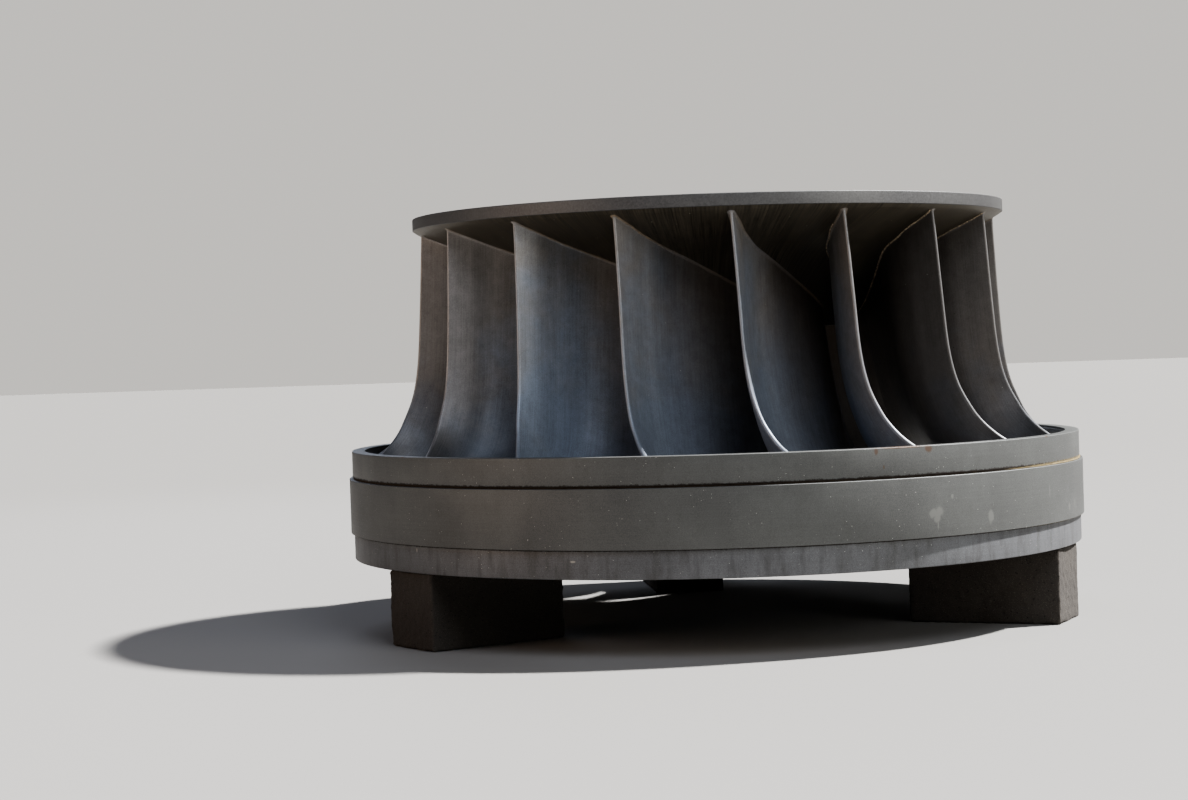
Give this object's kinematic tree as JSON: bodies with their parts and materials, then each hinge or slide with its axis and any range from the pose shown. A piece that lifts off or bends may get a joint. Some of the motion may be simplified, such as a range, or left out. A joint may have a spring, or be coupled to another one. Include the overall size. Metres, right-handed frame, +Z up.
{
  "type": "francis turbine runner",
  "caption": "Mixed-flow water turbine runner: a dished crown and a deep ringed band joined by twisted blades, standing on stone blocks.",
  "frame": {"origin": "on the shaft's axis, at ground level under the stone blocks", "axes": "+Z up along the shaft's axis, from the band to the crown; -Y towards the picture's camera"},
  "size_m": [4.4, 4.4, 2.4418],
  "materials": {
    "cast_steel": "satin, weathered",
    "blade_steel": "ground satin",
    "ring_steel": "turned satin",
    "block_stone": "sawn and hammered"
  },
  "bodies": {
    "root": {"crown": "cast_steel", "band": "cast_steel", "band_seal_ring": "ring_steel", "band_lower_ring": "ring_steel", "blade_01": "blade_steel", "blade_02": "blade_steel", "blade_03": "blade_steel", "blade_04": "blade_steel", "blade_05": "blade_steel", "blade_06": "blade_steel", "blade_07": "blade_steel", "blade_08": "blade_steel", "blade_09": "blade_steel", "blade_10": "blade_steel", "blade_11": "blade_steel", "blade_12": "blade_steel", "blade_13": "blade_steel", "blade_14": "blade_steel", "blade_15": "blade_steel", "blade_16": "blade_steel", "blade_17": "blade_steel", "stone_block_1": "block_stone", "stone_block_2": "block_stone", "stone_block_3": "block_stone"}
  },
  "joints": []
}
